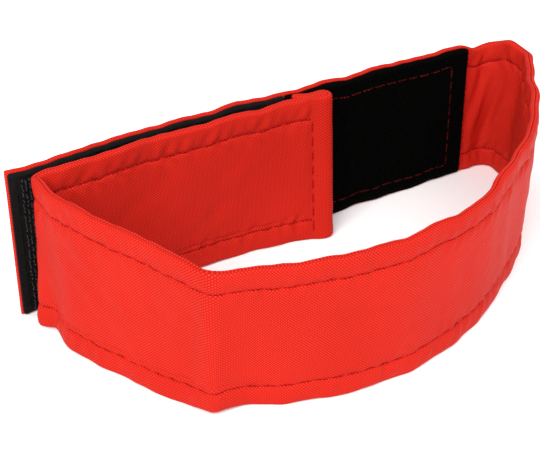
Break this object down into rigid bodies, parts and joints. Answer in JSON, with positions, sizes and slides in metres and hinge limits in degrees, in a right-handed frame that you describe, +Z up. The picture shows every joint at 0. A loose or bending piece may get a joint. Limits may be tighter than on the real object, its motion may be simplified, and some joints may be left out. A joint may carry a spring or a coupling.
{
  "type": "fabric wristband",
  "caption": "Narrow woven-cloth wristband with topstitched hemmed edges, lapped over itself and closed with hook-and-loop tape into an upright loop.",
  "frame": {"origin": "centre of the footprint, on the surface that the lower edge stands on", "axes": "+X along the straight back stretch towards the rounded side, +Y from the front towards the back, +Z up across the strap's width"},
  "size_m": [0.091, 0.0448, 0.025],
  "materials": {
    "red_cloth": "plain oxford weave with a slight sheen",
    "red_thread": "twisted sewing thread",
    "filler": "soft nonwoven",
    "hook_tape": "woven tape with plastic hooks",
    "loop_tape": "dense brushed loop pile"
  },
  "bodies": {
    "band": {"band_cover": "red_cloth", "band_lining": "red_cloth", "band_interlining": "filler", "band_upper_seam": "red_thread", "band_lower_seam": "red_thread"},
    "inner_flap": {"inner_flap_cover": "red_cloth", "inner_flap_lining": "red_cloth", "inner_flap_interlining": "filler", "inner_flap_upper_seam": "red_thread", "inner_flap_lower_seam": "red_thread", "inner_end_seam": "red_thread", "inner_loop_patch": "loop_tape"},
    "outer_flap": {"outer_flap_cover": "red_cloth", "outer_flap_lining": "red_cloth", "outer_flap_interlining": "filler", "outer_flap_upper_seam": "red_thread", "outer_flap_lower_seam": "red_thread", "hook_patch": "hook_tape", "outer_loop_patch": "loop_tape", "hook_patch_seam": "red_thread", "outer_loop_patch_seam": "red_thread"}
  },
  "joints": [
    {"name": "outer_flap_peel", "type": "hinge", "parent": "band", "child": "outer_flap", "pos_m": [0.0386, 0.02215, 0], "axis": [0, 0, -1], "range_deg": [0, 120]},
    {"name": "inner_flap_fold", "type": "hinge", "parent": "band", "child": "inner_flap", "pos_m": [-0.0407, 0.01755, 0], "axis": [0, 0, -1], "range_deg": [0, 35]}
  ]
}
